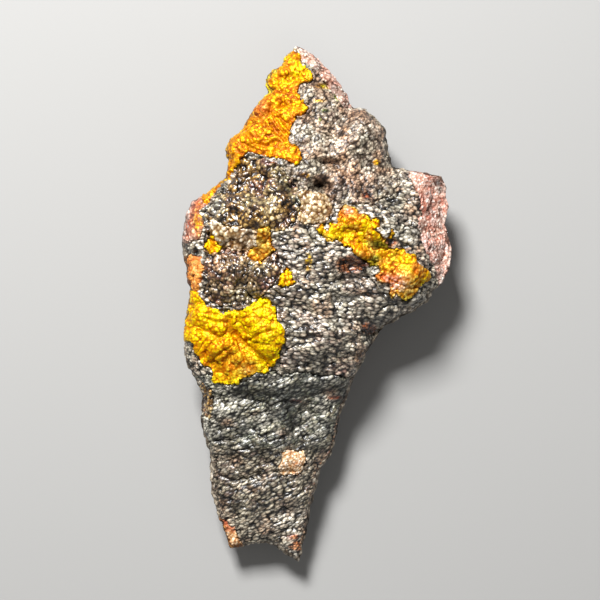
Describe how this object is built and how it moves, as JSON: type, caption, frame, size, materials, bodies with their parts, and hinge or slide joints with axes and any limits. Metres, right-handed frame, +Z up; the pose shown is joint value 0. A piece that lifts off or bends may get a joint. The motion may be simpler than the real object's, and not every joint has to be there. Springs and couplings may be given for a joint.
{
  "type": "goethite specimen",
  "caption": "Long flat-backed slab of botryoidal goethite, pointed at one end and lobed at one side, with golden crust over dark lumps; lies on its broken back.",
  "frame": {"origin": "middle of the outline, on the surface that the broken back rests on", "axes": "+Z up out of the crusted face, +Y along the length towards the pointed tip, +X towards the rose-coloured lobe"},
  "size_m": [0.0567, 0.1102, 0.024],
  "materials": {
    "goethite": "dark grey-brown botryoidal crust with satin lustre, golden yellow film in patches, rose and ochre earthy matrix on the broken edges and back"
  },
  "bodies": {
    "root": {"goethite_specimen": "goethite"}
  },
  "joints": []
}
